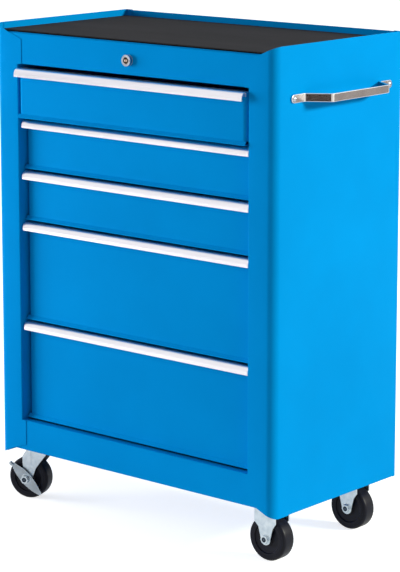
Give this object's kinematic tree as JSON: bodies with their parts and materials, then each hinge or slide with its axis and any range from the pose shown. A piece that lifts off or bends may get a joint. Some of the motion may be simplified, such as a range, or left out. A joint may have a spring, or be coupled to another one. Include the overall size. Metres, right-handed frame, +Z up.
{
  "type": "rolling tool cabinet",
  "caption": "Folded sheet tool cabinet on casters with sliding drawers, hooked metal pulls, a keyed lock, a side handle and a matted tray on top.",
  "frame": {"origin": "on the floor, under the middle of the cabinet's plan", "axes": "+Z up, +X to the right seen from the front, -Y out of the front towards the user"},
  "size_m": [0.6711, 0.349, 0.85],
  "materials": {
    "cabinet_blue": "satin",
    "pull_aluminium": "satin",
    "zinc": "zinc plated",
    "tray_blue": "satin",
    "wheel_black": "matt",
    "mat_black": "matt",
    "chrome": "polished",
    "plug_brass": "polished"
  },
  "bodies": {
    "cabinet": {"side_panel_left": "cabinet_blue", "side_panel_right": "cabinet_blue", "back_panel": "cabinet_blue", "front_header": "cabinet_blue", "base_pan": "cabinet_blue", "top_panel": "cabinet_blue", "top_mat": "mat_black", "rear_upright_left": "zinc", "rear_upright_right": "zinc", "rail_pair_1": "zinc", "rail_pair_2": "zinc", "rail_pair_3": "zinc", "rail_pair_4": "zinc", "rail_pair_5": "zinc", "lock_barrel": "chrome", "lock_nut": "chrome", "rod_bracket": "zinc", "lock_bar_guides": "zinc", "side_handle": "chrome", "handle_screws": "chrome", "caster_plate_front_left": "zinc", "caster_plate_rear_left": "zinc", "caster_fork_front_right": "zinc", "caster_fork_rear_right": "zinc", "caster_bolts": "zinc"},
    "drawer_1": {"drawer_1_tray": "tray_blue", "drawer_1_front": "cabinet_blue", "drawer_1_pull": "pull_aluminium", "drawer_1_runners": "zinc"},
    "drawer_2": {"drawer_2_tray": "tray_blue", "drawer_2_front": "cabinet_blue", "drawer_2_pull": "pull_aluminium", "drawer_2_runners": "zinc"},
    "drawer_3": {"drawer_3_tray": "tray_blue", "drawer_3_front": "cabinet_blue", "drawer_3_pull": "pull_aluminium", "drawer_3_runners": "zinc"},
    "drawer_4": {"drawer_4_tray": "tray_blue", "drawer_4_front": "cabinet_blue", "drawer_4_pull": "pull_aluminium", "drawer_4_runners": "zinc"},
    "drawer_5": {"drawer_5_tray": "tray_blue", "drawer_5_front": "cabinet_blue", "drawer_5_pull": "pull_aluminium", "drawer_5_runners": "zinc"},
    "lock": {"lock_plug": "plug_brass", "lock_rod": "zinc"},
    "lock_bar": {"lock_bar": "zinc"},
    "swivel_front_left": {"caster_fork_front_left": "zinc"},
    "wheel_front_left": {"wheel_front_left": "wheel_black"},
    "brake_front_left": {"brake_lever_front_left": "zinc"},
    "wheel_front_right": {"wheel_front_right": "wheel_black"},
    "swivel_rear_left": {"caster_fork_rear_left": "zinc"},
    "wheel_rear_left": {"wheel_rear_left": "wheel_black"},
    "brake_rear_left": {"brake_lever_rear_left": "zinc"},
    "wheel_rear_right": {"wheel_rear_right": "wheel_black"}
  },
  "joints": [
    {"name": "drawer_1_slide", "type": "slide", "parent": "cabinet", "child": "drawer_1", "axis": [0, -1, 0], "range_m": [-0.017, 0.208]},
    {"name": "drawer_2_slide", "type": "slide", "parent": "cabinet", "child": "drawer_2", "axis": [0, -1, 0], "range_m": [0, 0.225]},
    {"name": "drawer_3_slide", "type": "slide", "parent": "cabinet", "child": "drawer_3", "axis": [0, -1, 0], "range_m": [0, 0.225]},
    {"name": "drawer_4_slide", "type": "slide", "parent": "cabinet", "child": "drawer_4", "axis": [0, -1, 0], "range_m": [0, 0.225]},
    {"name": "drawer_5_slide", "type": "slide", "parent": "cabinet", "child": "drawer_5", "axis": [0, -1, 0], "range_m": [0, 0.225]},
    {"name": "lock_turn", "type": "hinge", "parent": "cabinet", "child": "lock", "pos_m": [0, 0, 0.8074], "axis": [0, -1, 0], "range_deg": [0, 90]},
    {"name": "lock_bar_lift", "type": "slide", "parent": "cabinet", "child": "lock_bar", "axis": [0, 0, 1], "range_m": [0, 0.01979]},
    {"name": "swivel_front_left_turn", "type": "hinge", "parent": "cabinet", "child": "swivel_front_left", "pos_m": [-0.26, -0.11, 0.08], "axis": [0, 0, 1], "continuous": true},
    {"name": "wheel_front_left_spin", "type": "hinge", "parent": "swivel_front_left", "child": "wheel_front_left", "pos_m": [-0.28369, -0.11797, 0.0375], "axis": [0.319, -0.9478, 0], "continuous": true},
    {"name": "brake_front_left_press", "type": "hinge", "parent": "swivel_front_left", "child": "brake_front_left", "pos_m": [-0.28369, -0.11797, 0.0375], "axis": [0.319, -0.9478, 0], "range_deg": [0, 25]},
    {"name": "wheel_front_right_spin", "type": "hinge", "parent": "cabinet", "child": "wheel_front_right", "pos_m": [0.26, -0.11, 0.0375], "axis": [0, 1, 0], "continuous": true},
    {"name": "swivel_rear_left_turn", "type": "hinge", "parent": "cabinet", "child": "swivel_rear_left", "pos_m": [-0.26, 0.11, 0.08], "axis": [0, 0, 1], "continuous": true},
    {"name": "wheel_rear_left_spin", "type": "hinge", "parent": "swivel_rear_left", "child": "wheel_rear_left", "pos_m": [-0.28445, 0.1152, 0.0375], "axis": [-0.2079, -0.9781, 0], "continuous": true},
    {"name": "brake_rear_left_press", "type": "hinge", "parent": "swivel_rear_left", "child": "brake_rear_left", "pos_m": [-0.28445, 0.1152, 0.0375], "axis": [-0.2079, -0.9781, 0], "range_deg": [0, 25]},
    {"name": "wheel_rear_right_spin", "type": "hinge", "parent": "cabinet", "child": "wheel_rear_right", "pos_m": [0.26, 0.11, 0.0375], "axis": [0, 1, 0], "continuous": true}
  ],
  "couplings": [
    {"joint": "lock_turn", "follows": "lock_bar_lift", "rad_per_m": 79.337}
  ]
}
